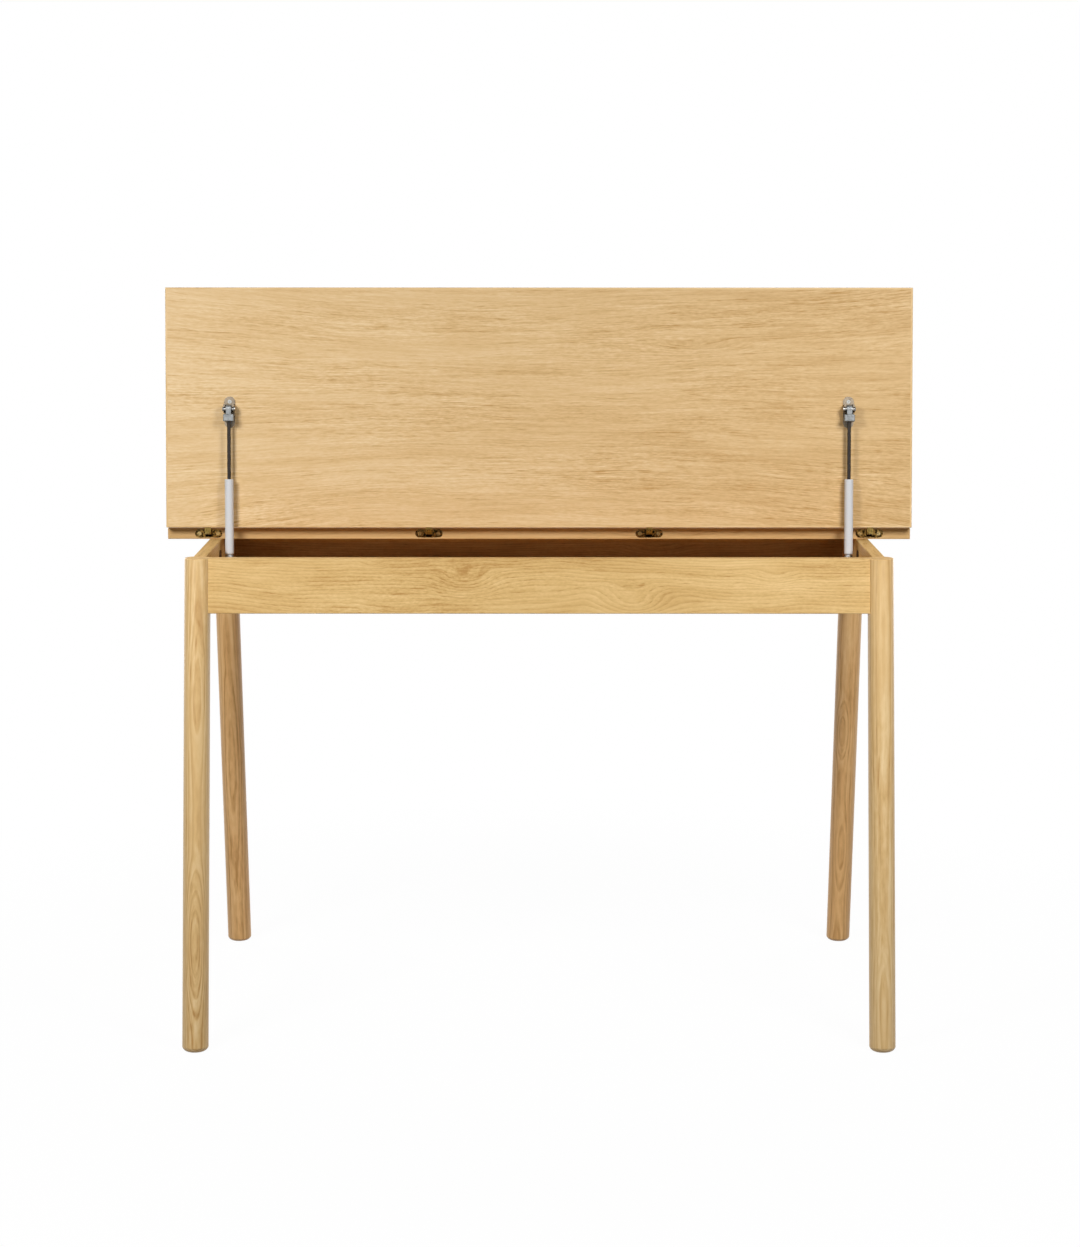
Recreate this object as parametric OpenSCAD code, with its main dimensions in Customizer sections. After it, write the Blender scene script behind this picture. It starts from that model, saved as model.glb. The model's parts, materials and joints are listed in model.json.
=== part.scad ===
// Writing desk with a lift-up lid over a shallow compartment, on two leaning pairs of round legs.
// X runs to the right, Y to the back and Z up. The origin is on the floor under the middle.
// The lid is drawn standing open against its stop.

/* [Top] */
// Width of the desk top
top_w = 1200; // [1000:10:1500]
// Depth of the whole top, the lid and the fixed part together
top_d = 680; // [640:5:720]
// Thickness of the top boards
top_t = 18; // [17:0.5:24]
// Depth of the lid from its hinge edge to its front edge
lid_d = 385; // [360:5:400]
// Gap between the lid and the fixed part
split_gap = 2; // [1:0.5:3]
// Thickness of the solid lipping round each board
lip_t = 3; // [2:0.5:6]
// Rounding of the boards' edges
edge_r = 1.2; // [0.5:0.1:1.8]
// Angle at which the lid stands open
lid_open = 96; // [90:1:100]
// Height of the closed lid above the frame
lid_rest_gap = 0.5; // [0.3:0.1:1.5]

/* [Frame] */
// Height of the frame, from the floor to the underside of the top
frame_h = 740; // [650:5:800]
// How far the top overhangs the legs at each side
side_overhang = 56; // [30:1:80]
// Radius of the legs
leg_r = 20; // [18:0.5:24]
// Distance of the leg axes from the middle at the top
leg_top_y = 195; // [180:1:210]
// Distance of the leg axes from the middle at the floor
leg_foot_y = 332; // [290:1:360]
// Rounding round the bottom of each leg
foot_round = 9; // [2:0.5:10]
// Rounding round the top of each leg
head_round = 1.5; // [1:0.1:2.5]
// Thickness of the rails
rail_t = 20; // [16:1:24]
// Height of the rails
rail_h = 83; // [76:1:110]
// Rounding of the rails' long edges
rail_edge = 1.2; // [0.5:0.1:2]
// How far the side rails sit inside the leg axes
side_rail_in = 1.5; // [0:0.5:3]

/* [Joints in the wood] */
// Thickness of the tenons
tenon_t = 8; // [6:0.5:9]
// Height of the shoulder above and below each tenon
tenon_shoulder = 11; // [8:1:16]
// Wood left between the end of a tenon and the leg's axis
tenon_stop = 7; // [6:0.5:10]
// Gap for glue round tenons, shoulders and let-in fittings
glue_gap = 0.1; // [0.05:0.05:0.3]

/* [Compartment] */
// Thickness of the compartment floor
floor_t = 6; // [4:0.5:9]
// Gap round the compartment floor
floor_gap = 0.5; // [0.3:0.1:1.5]
// Side of the square cleats under the floor
cleat_t = 12; // [10:1:15]
// Height of the cleats above the rails' lower edge
cleat_up = 3; // [1:0.5:6]
// Side of the square batten that holds the fixed top to the rear rail
batten_t = 20; // [16:1:24]
// Length of the batten that holds the fixed top
batten_len = 960; // [700:10:980]

/* [Lid hinges] */
// Distance of the outer hinges from the ends of the top
hinge_inset = 66; // [50:1:120]
// Width of a hinge cup
cup_w = 44; // [38:1:50]
// Height of a hinge cup
cup_h = 13; // [12.5:0.1:13.4]
// Depth of a hinge cup
cup_d = 14; // [13:0.5:18]
// Wood left above a hinge cup
cup_cover = 2.5; // [2.3:0.1:2.6]
// Width and depth of the step round a cup's face
cup_step = 0.8; // [0.5:0.1:1]
// Inner radius of the link arcs
link_r_in = 6.8; // [6.7:0.1:7.2]
// Outer radius of the link arcs
link_r_out = 10.4; // [10:0.1:10.6]
// Half of the angle that a link arc spans
link_half = 62; // [60:1:63]
// Thickness of one link leaf
leaf_t = 2.6; // [2:0.1:3]
// Gap between link leaves
leaf_gap = 0.8; // [0.5:0.1:1.2]
// Number of leaves in a link pack
leaf_count = 3; // [3:1:4]
// Radius of the rivets through the leaves
rivet_r = 1.3; // [1:0.1:1.6]
// Running gap between the links and their slots
link_gap = 0.3; // [0.2:0.05:0.4]
// Room left in the slot under the links
slot_room = 3.6; // [2.5:0.1:3.8]

/* [Gas struts] */
// Distance of the strut's plane from the side rail's inner face
strut_in = 15.5; // [14:0.5:20]
// Distance from the hinge axis to the upper pivot, along the lid
lid_pivot_u = 191; // [186:1:200]
// Distance of the upper pivot from the lid's underside
lid_pivot_out = 14.5; // [13.5:0.5:17]
// Distance of the lower pivot in front of the hinge axis
base_pivot_front = 36; // [32:1:40]
// Distance of the lower pivot below the hinge axis
base_pivot_down = 50; // [46:1:52]
// Radius of the barrel
barrel_r = 7; // [6.5:0.25:8]
// Wall of the barrel
barrel_wall = 1.2; // [0.8:0.1:1.6]
// Distance from the lower pivot to the barrel's bottom
barrel_up = 11.5; // [10:0.5:13]
// Thickness of the barrel's bottom
barrel_bottom = 5; // [4:0.5:6]
// Radius of the rod
rod_r = 3; // [2.5:0.25:3.5]
// Length of the gland that closes the barrel
gland_len = 12; // [8:1:14]
// Length of the piston
piston_len = 9; // [6:1:12]
// Gap between the piston and the barrel's wall
piston_gap = 0.25; // [0.2:0.05:0.5]
// Gap between the barrel and the rod head when the strut is shut
shut_gap = 4; // [1:0.5:5]
// Gap between the piston and the gland when the strut is open
open_gap = 1.5; // [1:0.5:3]
// Rounding of the barrel's bottom
barrel_round = 2.5; // [1.5:0.25:3]
// How far the barrel's top is rolled in over the gland
barrel_roll = 0.8; // [0.5:0.1:1]
// Thickness of the round cap under the barrel
foot_cap_t = 3; // [2:0.5:4]
// Gap between that cap and the barrel
foot_cap_gap = 1.2; // [0.8:0.1:1.6]
// How far that cap sits inside the barrel's outline
foot_cap_in = 0.5; // [0:0.1:1]
// Side of the square block at the end of the rod
block_w = 17; // [15:0.5:18]
// Distance from the upper pivot to the far face of the block
head_len = 20; // [19:0.5:24]
// Length of the block
block_len = 11.5; // [10:0.5:12]
// Rounding of the block's edges
block_edge = 1.5; // [0.5:0.1:2.5]
// Length of the rod that sits in its head
rod_in_head = 8; // [5:0.5:9]
// Width of the rod head's tongue and of the lower eye
eye_w = 8; // [6:0.5:9]
// Radius of the rod head's tongue and of the lower eye
eye_r = 7; // [6:0.25:7.5]
// Radius of the pins at both pivots
pin_r = 3; // [2.5:0.25:3.5]
// Radial clearance of a pin or rod that turns or slides in its bore
run_gap = 0.05; // [0.02:0.01:0.1]
// Gap beside the lower eye and round the pins
side_gap = 0.3; // [0.2:0.05:0.5]

/* [Brackets] */
// Thickness of the bracket plates
plate_t = 2; // [1.5:0.25:3]
// Thickness of the hook ears
ear_t = 2.5; // [2:0.25:3]
// Gap between the rod head's tongue and each hook ear
ear_gap = 1.8; // [0.5:0.1:2]
// Width of the lid bracket's plate
lid_plate_w = 17; // [16.5:0.5:20]
// Distance from the upper pivot to the far screw of the lid bracket
lid_screw_far = 12; // [11.5:0.5:16]
// Distance from the upper pivot to the near screw of the lid bracket
lid_screw_near = 21.5; // [12:0.5:24]
// Width of the plate on the side rail
base_plate_w = 15; // [14:0.5:18]
// Distance of each screw of that plate from the lower pivot
base_screw_z = 11; // [10:0.5:11]
// Reach of the hook ears beyond the pin
hook_reach = 5; // [4:0.5:6]
// Length of the ears towards the lid's front edge
ear_far = 7.5; // [7:0.25:8]
// Length of the ears towards the hinge
ear_near = 6.5; // [6:0.25:7]
// Slope of the hooks' open flank
hook_slope = 37; // [33:1:45]

/* [Screws] */
// Radius of the screw shanks
screw_r = 1.7; // [1.5:0.1:2]
// Radius of the screw heads
screw_head_r = 3.2; // [2.8:0.1:3.6]
// Length of the screws in the hinge cups
cup_screw_len = 24; // [20:1:30]
// Length of the screws in the brackets
bracket_screw_len = 14; // [10:0.5:14.5]
// Length of the screws in the batten
batten_screw_len = 32; // [26:1:34]
// Distance between the screws of one hinge cup
cup_screw_span = 30; // [28:1:32]

/* [Hidden] */

$fn = 64;
oak = [0.84, 0.70, 0.49];
ply = [0.80, 0.67, 0.47];
brass = [0.66, 0.55, 0.30];
zinc = [0.66, 0.67, 0.68];
steel = [0.42, 0.42, 0.43];
barrel_grey = [0.84, 0.84, 0.86];
seal_black = [0.12, 0.12, 0.13];

// Frame: where the legs and the inner faces are
leg_x = top_w / 2 - side_overhang - leg_r;
lean = atan((leg_foot_y - leg_top_y) / frame_h);
leg_len = frame_h / cos(lean);
rail_len = rail_h / cos(lean);
rail_z = frame_h - rail_h;
side_rail_x = leg_x - side_rail_in;
inner_x = side_rail_x - rail_t / 2;
leg_span = leg_r / cos(lean);
rail_span = rail_t / 2 / cos(lean);
function axis_y(z) = leg_top_y + (frame_h - z) * tan(lean);
function inner_y(z) = axis_y(z) - rail_span;

// Compartment floor and cleats
cleat_z = rail_z + cleat_up;
floor_z = cleat_z + cleat_t;
floor_top = floor_z + floor_t;

// Hinge axis, on the top surface over the middle of the gap
hinge_y = lid_d + split_gap - top_d / 2 - split_gap / 2;
hinge_z = frame_h + top_t;
outer_hinge_x = top_w / 2 - hinge_inset;
hinge_xs = [-outer_hinge_x, -outer_hinge_x / 3, outer_hinge_x / 3, outer_hinge_x];
lid_t = top_t - lid_rest_gap;
rear_top_d = top_d - lid_d - split_gap;
cup_drop = cup_cover + cup_h / 2;
link_w = leaf_count * leaf_t + (leaf_count - 1) * leaf_gap;
link_mid_r = (link_r_in + link_r_out) / 2;
link_end_r = (link_r_out - link_r_in) / 2;
link_reach = link_half - asin(link_end_r / link_mid_r);
// Angles that a slot runs past the split line and past the end of the links
slot_mouth = 40;
slot_end = 2;

// Gas struts: pivots in the plane of Y and Z, seen from the hinge axis
pin_w = lid_t + lid_pivot_out;
function lid_point(u, w, a) = [-u * cos(a) - w * sin(a), u * sin(a) - w * cos(a)];
base_point = [-base_pivot_front, -base_pivot_down];
open_reach = lid_point(lid_pivot_u, pin_w, lid_open) - base_point;
shut_reach = lid_point(lid_pivot_u, pin_w, 0) - base_point;
open_len = norm(open_reach);
shut_len = norm(shut_reach);
stroke = open_len - shut_len;
strut_tilt = atan2(open_reach[0], open_reach[1]);
strut_turn = strut_tilt - atan2(shut_reach[0], shut_reach[1]);
strut_x = inner_x - strut_in;
barrel_top = shut_len - head_len - shut_gap;
bore_r = barrel_r - barrel_wall;
gland_z = barrel_top - barrel_roll - run_gap - gland_len;
piston_z = gland_z - open_gap - piston_len;
ear_x = eye_w / 2 + ear_gap;
pin_half = ear_x + ear_t + side_gap;
hook_r = pin_r + side_gap;
stud_reach = strut_in + eye_w / 2 + side_gap;

// Riveted heads of the pins and the shoulder of the stud
pin_head_t = 1.5;
pin_head_out = 1.4;
stud_shoulder = 2;

// Cross recess in a screw head
recess_len = 1.1 * screw_head_r;
recess_w = 0.7;
recess_d = 0.8;

// Screws along the batten
batten_screws_n = 5;
batten_pitch = batten_len / batten_screws_n;

// How far a cutting or joining shape runs past the face that it meets
overrun = 0.05;

echo(hinge_axis = [0, hinge_y, hinge_z]);
echo(strut_base = [strut_x, hinge_y + base_point[0], hinge_z + base_point[1]]);
echo(strut_axis = [0, sin(strut_tilt), cos(strut_tilt)]);
echo(strut_turn = strut_turn, stroke = stroke, turn_ratio = strut_turn / lid_open);
echo(open_len = open_len, shut_len = shut_len, lean = lean, floor_top = floor_top);
echo(foot = [leg_x, axis_y(foot_round), 0]);

// A profile drawn in Y and Z, pulled out along X from x0
module along_x(x0, w) {
    translate([x0, 0, 0])
        rotate([90, 0, 90])
            linear_extrude(w) children();
}

// Frame of one leg pair: its plane leans, and its origin is the line of the leg axes at the top
module leaning(side) {
    translate([0, side * leg_top_y, frame_h])
        rotate([side * lean, 0, 0]) children();
}

// The whole desk between two levels
module level_slab(z0, z1) {
    translate([-top_w, -top_d, z0]) cube([2 * top_w, 2 * top_d, z1 - z0]);
}

module leg_cylinder(sx, sy, r) {
    leaning(sy)
        translate([sx * leg_x, 0, -leg_len - leg_r])
            cylinder(r = r, h = leg_len + 2 * leg_r);
}

// Tenons of a front or rear rail, let into both of its legs
module cross_tenons(sy, gap) {
    len = leg_x - tenon_stop + gap;
    leaning(sy)
        translate([-len, -tenon_t / 2 - gap, -rail_len + tenon_shoulder - gap])
            cube([2 * len, tenon_t + 2 * gap, rail_len - 2 * tenon_shoulder + 2 * gap]);
}

// Tenons of a side rail, with their ends parallel to the leaning legs
module side_tenons(sx, gap) {
    z0 = rail_z + tenon_shoulder - gap;
    z1 = frame_h - tenon_shoulder + gap;
    stop = (tenon_stop - gap) / cos(lean);
    y0 = axis_y(z0) - stop;
    y1 = axis_y(z1) - stop;
    along_x(sx * side_rail_x - tenon_t / 2 - gap, tenon_t + 2 * gap)
        polygon([[-y0, z0], [y0, z0], [y1, z1], [-y1, z1]]);
}

// Upright disc of radius r and height h, with its lower edge rounded by h
module eased_disc(r, h) {
    rotate_extrude()
        intersection() {
            square([r, h]);
            union() {
                square([r - h, h]);
                translate([r - h, h]) circle(r = h);
            }
        }
}

// Round leg, cut level at both ends, with the edges of both cuts rounded
module leg(sx, sy) {
    color(oak)
    difference() {
        intersection() {
            leg_cylinder(sx, sy, leg_r);
            union() {
                level_slab(foot_round, frame_h - head_round);
                translate([sx * leg_x, sy * axis_y(foot_round), 0])
                    eased_disc(leg_span + overrun, foot_round);
                translate([sx * leg_x, sy * axis_y(frame_h - head_round), frame_h])
                    mirror([0, 0, 1]) eased_disc(leg_span + overrun, head_round);
            }
        }
        cross_tenons(sy, glue_gap);
        side_tenons(sx, glue_gap);
    }
}

function unit(v) = v / norm(v);

// Straight-sided outline with its corners rounded by r; its points run anticlockwise
module eased_polygon(points, r) {
    n = len(points);
    corners = [
        for (i = [0 : n - 1])
            let (
                before = unit(points[i] - points[(i + n - 1) % n]),
                after = unit(points[(i + 1) % n] - points[i]),
                run = r * tan(acos(before * after) / 2)
            )
            [points[i] - run * before, points[i] + run * after, r * [-before[1], before[0]]]
    ];
    union() {
        polygon([for (c = corners) each [c[0], c[1]]]);
        for (c = corners) translate(c[0] + c[2]) circle(r = r);
    }
}

// Front or rear rail: it leans with its legs, its top and bottom are level, its ends fit the round legs
module cross_rail(sy) {
    low = sy * axis_y(rail_z);
    high = sy * leg_top_y;
    color(oak)
    union() {
        difference() {
            along_x(-leg_x, 2 * leg_x)
                eased_polygon([
                    [low - rail_span, rail_z], [low + rail_span, rail_z],
                    [high + rail_span, frame_h], [high - rail_span, frame_h]
                ], rail_edge);
            for (sx = [-1, 1]) leg_cylinder(sx, sy, leg_r + glue_gap);
        }
        cross_tenons(sy, 0);
    }
}

// Side rail, upright, with its ends fitted to the leaning round legs
module side_rail(sx) {
    y0 = axis_y(rail_z);
    color(oak)
    difference() {
        union() {
            difference() {
                intersection() {
                    along_x(sx * side_rail_x - rail_t / 2, rail_t)
                        polygon([[-y0, rail_z], [y0, rail_z], [leg_top_y, frame_h], [-leg_top_y, frame_h]]);
                    translate([sx * side_rail_x, y0, rail_z + rail_h / 2])
                        rotate([90, 0, 0])
                            linear_extrude(2 * y0) rounded_rect(rail_t, rail_h, rail_edge);
                }
                for (sy = [-1, 1]) leg_cylinder(sx, sy, leg_r + glue_gap);
            }
            side_tenons(sx, 0);
        }
        base_screws(sx, run_gap);
    }
}

module compartment_floor() {
    half_x = inner_x - floor_gap;
    half_y = inner_y(floor_top) - floor_gap;
    notch_x = leg_x - leg_r - floor_gap;
    notch_y = axis_y(floor_top) - leg_span - floor_gap;
    color(ply)
    difference() {
        translate([-half_x, -half_y, floor_z]) cube([2 * half_x, 2 * half_y, floor_t]);
        for (sx = [-1, 1])
            for (sy = [-1, 1])
                translate([sx * (notch_x + leg_r), sy * (notch_y + leg_r), floor_z])
                    cube([2 * leg_r, 2 * leg_r, 4 * floor_t], center = true);
    }
}

// Strip of wood glued to the inner face of a front or rear rail
module cross_strip(sy, t, len, z0, z1) {
    intersection() {
        leaning(sy)
            translate([-len / 2, sy > 0 ? -rail_t / 2 - t : rail_t / 2, -2 * rail_len])
                cube([len, t, 3 * rail_len]);
        level_slab(z0, z1);
    }
}

module cross_cleat(sy) {
    color(oak) cross_strip(sy, cleat_t, 2 * (leg_x - leg_r - floor_gap), cleat_z, floor_z);
}

module side_cleat(sx) {
    half_y = inner_y(floor_z) - cleat_t / cos(lean) - floor_gap;
    color(oak)
    translate([sx * (inner_x - cleat_t / 2) - cleat_t / 2, -half_y, cleat_z])
        cube([cleat_t, 2 * half_y, cleat_t]);
}

module rounded_rect(w, h, r) {
    union() {
        square([w - 2 * r, h], center = true);
        square([w, h - 2 * r], center = true);
        for (sx = [-1, 1])
            for (sy = [-1, 1])
                translate([sx * (w / 2 - r), sy * (h / 2 - r)]) circle(r = r);
    }
}

// Box with rounded edges, centred
module eased_box(w, d, h, r) {
    intersection() {
        translate([0, 0, -h / 2]) linear_extrude(h) rounded_rect(w, d, r);
        translate([0, d / 2, 0]) rotate([90, 0, 0]) linear_extrude(d) rounded_rect(w, h, r);
        translate([-w / 2, 0, 0]) rotate([90, 0, 90]) linear_extrude(w) rounded_rect(d, h, r);
    }
}

// Solid lipping round a board of depth d and thickness t, centred
module lipping(d, t) {
    difference() {
        eased_box(top_w, d, t, edge_r);
        board_core(d, 2 * t);
    }
}

module board_core(d, t) {
    cube([top_w - 2 * lip_t, d - 2 * lip_t, t], center = true);
}

// Places of the four hinges along the axis
module at_hinges() {
    for (x = hinge_xs) translate([x, 0, 0]) children();
}

// Frame of the hinge axis, standing still with the desk
module hinge_frame() {
    translate([0, hinge_y, hinge_z]) children();
}

// Frame of the lid: the hinge axis is its origin, the lid lies towards -Y with its top face at Z 0
module lid_frame() {
    hinge_frame() rotate([-lid_open, 0, 0]) children();
}

module stadium(w, h) {
    union() {
        square([w - h, h], center = true);
        for (s = [-1, 1]) translate([s * (w - h) / 2, 0]) circle(d = h);
    }
}

// Wood screw with its head face at Z 0 and its point down, countersunk
module screw(len, gap) {
    rotate_extrude()
        polygon([
            [0, 0], [screw_head_r + gap, 0], [screw_r + gap, screw_r - screw_head_r],
            [screw_r + gap, -len + 2 * screw_r], [0, -len - gap]
        ]);
}

module cross_recess() {
    for (a = [0, 90])
        rotate([0, 0, a]) cube([recess_len, recess_w, 2 * recess_d], center = true);
}

module recessed_screw(len) {
    difference() {
        screw(len, 0);
        cross_recess();
    }
}

// Sector of a flat ring round the X axis; angles count from straight down towards the back
module ring_sector(r0, r1, w, a0, a1) {
    rotate([0, 90, 0])
        rotate([0, 0, a0])
            rotate_extrude(angle = a1 - a0)
                translate([r0, -w / 2]) square([r1 - r0, w]);
}

// Body of a hinge cup, and with a gap the pocket that it is let into
module cup_body(gap) {
    translate([0, split_gap / 2 - gap, -cup_drop])
        rotate([-90, 0, 0])
            linear_extrude(cup_d + 2 * gap) stadium(cup_w + 2 * gap, cup_h + 2 * gap);
}

// Places of the two screws of a cup, pointing into the wood
module at_cup_screws() {
    for (s = [-1, 1])
        translate([s * cup_screw_span / 2, split_gap / 2, -cup_drop])
            rotate([90, 0, 0]) children();
}

// Curved slot that the links slide in
module link_slot() {
    ring_sector(
        link_r_in - link_gap, link_r_out + slot_room, link_w + 2 * link_gap,
        -slot_mouth, link_half + slot_end
    );
}

// Ring that is cut away round the face of a cup
module cup_rim() {
    translate([0, split_gap / 2 - overrun, -cup_drop])
        rotate([-90, 0, 0])
            linear_extrude(cup_step + overrun)
                difference() {
                    stadium(cup_w + 2 * cup_step, cup_h + 2 * cup_step);
                    stadium(cup_w - 2 * cup_step, cup_h - 2 * cup_step);
                }
}

// Hinge cup of cast brass
module cup() {
    color(brass)
    difference() {
        cup_body(0);
        cup_rim();
        link_slot();
        at_cup_screws() screw(cup_screw_len, run_gap);
    }
}

// One pack of curved leaves, riveted together, drawn as it lies when the lid is shut
module link_pack() {
    color(brass)
    rotate([-lid_open / 2, 0, 0])
    union() {
        for (i = [0 : leaf_count - 1])
            translate([(i - (leaf_count - 1) / 2) * (leaf_t + leaf_gap), 0, 0]) {
                ring_sector(link_r_in, link_r_out, leaf_t, -link_reach, link_reach);
                for (s = [-1, 1])
                    rotate([s * link_reach, 0, 0])
                        translate([-leaf_t / 2, 0, -link_mid_r])
                            rotate([0, 90, 0]) cylinder(r = link_end_r, h = leaf_t);
            }
        for (s = [-1, 0, 1])
            rotate([s * link_reach, 0, 0])
                translate([-link_w / 2, 0, -link_mid_r])
                    rotate([0, 90, 0]) cylinder(r = rivet_r, h = link_w);
    }
}

// Everything that the hinges cut out of the edge of a board
module hinge_cuts() {
    at_hinges() {
        cup_body(glue_gap);
        at_cup_screws() screw(cup_screw_len, run_gap);
    }
}

module at_rear_top() {
    translate([0, top_d / 2 - rear_top_d / 2, frame_h + top_t / 2]) children();
}

module rear_top_cuts() {
    hinge_frame() hinge_cuts();
    at_batten_screws() screw(batten_screw_len, run_gap);
}

module rear_top_core() {
    color(oak)
    difference() {
        at_rear_top() board_core(rear_top_d, top_t);
        rear_top_cuts();
    }
}

module rear_top_lipping() {
    color(oak)
    difference() {
        at_rear_top() lipping(rear_top_d, top_t);
        rear_top_cuts();
    }
}

// Screws that come up through the batten into the fixed top
module at_batten_screws() {
    batten_y = inner_y(frame_h - batten_t / 2) - batten_t / 2 / cos(lean);
    for (i = [0 : batten_screws_n - 1])
        translate([(i - (batten_screws_n - 1) / 2) * batten_pitch, batten_y, frame_h - batten_t])
            rotate([180, 0, 0]) children();
}

module rear_top_batten() {
    color(oak)
    difference() {
        cross_strip(1, batten_t, batten_len, frame_h - batten_t, frame_h);
        at_batten_screws() screw(batten_screw_len, run_gap);
    }
}

module batten_screws() {
    color(steel) at_batten_screws() recessed_screw(batten_screw_len);
}

module at_lid_board() {
    lid_frame() translate([0, -(lid_d + split_gap) / 2, -lid_t / 2]) children();
}

// Screws of the lid's own fittings, and the pockets of its hinge cups
module lid_cuts() {
    lid_frame() {
        mirror([0, 1, 0]) hinge_cuts();
        at_lid_screws(-lid_t - plate_t) screw(bracket_screw_len, run_gap);
    }
}

module lid_core() {
    color(oak)
    difference() {
        at_lid_board() board_core(lid_d, lid_t);
        lid_cuts();
    }
}

module lid_lipping() {
    color(oak)
    difference() {
        at_lid_board() lipping(lid_d, lid_t);
        lid_cuts();
    }
}

module frame_cup(i) {
    hinge_frame() translate([hinge_xs[i], 0, 0]) cup();
}

module lid_cup(i) {
    lid_frame() translate([hinge_xs[i], 0, 0]) mirror([0, 1, 0]) cup();
}

module links(i) {
    hinge_frame() translate([hinge_xs[i], 0, 0]) link_pack();
}

module frame_cup_screws() {
    color(brass) hinge_frame() at_hinges() at_cup_screws() recessed_screw(cup_screw_len);
}

module lid_cup_screws() {
    color(brass) lid_frame() mirror([0, 1, 0]) at_hinges() at_cup_screws() recessed_screw(cup_screw_len);
}

// Frame of a strut at rest: the lower pivot is its origin and Z runs up the rod
module strut_frame(sx) {
    translate([sx * strut_x, hinge_y + base_point[0], hinge_z + base_point[1]])
        rotate([-strut_tilt, 0, 0]) children();
}

// Place of the lower pivot on the side rail's inner face, with Z pointing out of the rail
module base_frame(sx) {
    translate([sx * inner_x, hinge_y + base_point[0], hinge_z + base_point[1]])
        rotate([0, -sx * 90, 0]) children();
}

// Screws of the plate on a side rail; a gap makes the holes
module at_base_screws(sx, lift) {
    base_frame(sx)
        for (s = [-1, 1]) translate([s * base_screw_z, 0, lift]) children();
}

module base_screws(sx, gap) {
    at_base_screws(sx, plate_t) screw(bracket_screw_len, gap);
}

module strut_bracket(sx) {
    color(zinc)
    difference() {
        base_frame(sx)
            linear_extrude(plate_t)
                difference() {
                    stadium(2 * base_screw_z + base_plate_w, base_plate_w);
                    circle(r = pin_r + run_gap);
                }
        base_screws(sx, run_gap);
    }
}

// Riveted head on the end of a pin
module pin_head() {
    cylinder(r1 = pin_r + pin_head_out, r2 = pin_r + pin_head_out / 2, h = pin_head_t);
}

// Stud riveted into the side plate, with a shoulder, a journal for the strut's eye and a head
module strut_stud(sx) {
    color(steel)
    base_frame(sx)
        union() {
            cylinder(r = pin_r, h = stud_reach);
            translate([0, 0, plate_t])
                cylinder(r = pin_r + stud_shoulder, h = strut_in - eye_w / 2 - side_gap - plate_t);
            translate([0, 0, stud_reach]) pin_head();
        }
}

module strut_bracket_screws() {
    color(zinc)
    for (sx = [-1, 1]) at_base_screws(sx, plate_t) recessed_screw(bracket_screw_len);
}

module across(r, half) {
    translate([-half, 0, 0]) rotate([0, 90, 0]) cylinder(r = r, h = 2 * half);
}

// Lower end fitting: an eye round the stud, a round cap and a spigot in the barrel's bottom
module strut_foot(sx) {
    color(zinc)
    strut_frame(sx)
        difference() {
            union() {
                across(eye_r, eye_w / 2);
                cylinder(r = eye_w / 2, h = barrel_up);
                translate([0, 0, barrel_up - foot_cap_gap - foot_cap_t])
                    cylinder(r = barrel_r - foot_cap_in, h = foot_cap_t);
                cylinder(r = rod_r, h = barrel_up + barrel_bottom - side_gap);
            }
            across(pin_r + run_gap, eye_w);
        }
}

// Half outline of a round bar from z0 to z1, with its bottom edge rounded by e0 and its top by e1
module rounded_side(r, z0, z1, e0, e1) {
    union() {
        translate([0, z0]) square([r - e0, e0]);
        translate([r - e0, z0 + e0]) circle(r = e0);
        translate([0, z0 + e0]) square([r, z1 - z0 - e0 - e1]);
        translate([r - e1, z1 - e1]) circle(r = e1);
        translate([0, z1 - e1]) square([r - e1, e1]);
    }
}

// Barrel: a tube with a closed, rounded bottom and a rolled-in top
module barrel(sx) {
    bore_z = barrel_up + barrel_bottom;
    color(barrel_grey)
    strut_frame(sx)
        rotate_extrude()
            difference() {
                rounded_side(barrel_r, barrel_up, barrel_top, barrel_round, barrel_roll);
                square([rod_r + run_gap, barrel_top]);
                translate([0, bore_z]) square([bore_r, barrel_top - barrel_roll - bore_z]);
                translate([0, bore_z]) square([bore_r - barrel_roll, barrel_top]);
            }
}

// Ring between the given radii and heights of the strut's frame
module sleeve(r0, r1, z0, len) {
    rotate_extrude() translate([r0, z0]) square([r1 - r0, len]);
}

module gland(sx) {
    color(seal_black)
    strut_frame(sx) sleeve(rod_r + run_gap, bore_r - run_gap, gland_z, gland_len);
}

module rod(sx) {
    color(steel)
    strut_frame(sx)
        translate([0, 0, piston_z]) cylinder(r = rod_r, h = open_len - head_len + rod_in_head - piston_z);
}

module piston(sx) {
    color(seal_black)
    strut_frame(sx) sleeve(rod_r + run_gap, bore_r - piston_gap, piston_z, piston_len);
}

// Rod head: a square block on the rod and a tongue with the cross pin
module rod_head(sx) {
    z0 = open_len - head_len;
    z1 = z0 + block_len;
    color(zinc)
    strut_frame(sx)
        difference() {
            union() {
                translate([0, 0, (z0 + z1) / 2]) eased_box(block_w, block_w, block_len, block_edge);
                translate([-eye_w / 2, -eye_r, z1 - overrun])
                    cube([eye_w, 2 * eye_r, open_len - z1 + overrun]);
                translate([0, 0, open_len]) across(eye_r, eye_w / 2);
            }
            translate([0, 0, open_len]) across(pin_r + run_gap, eye_w);
            translate([0, 0, z0 - overrun])
                cylinder(r = rod_r + run_gap, h = rod_in_head + run_gap + overrun);
        }
}

module head_pin(sx) {
    color(steel)
    strut_frame(sx)
        translate([0, 0, open_len])
            union() {
                across(pin_r, pin_half);
                for (s = [-1, 1])
                    rotate([0, s * 90, 0])
                        translate([0, 0, pin_half]) pin_head();
            }
}

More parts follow.
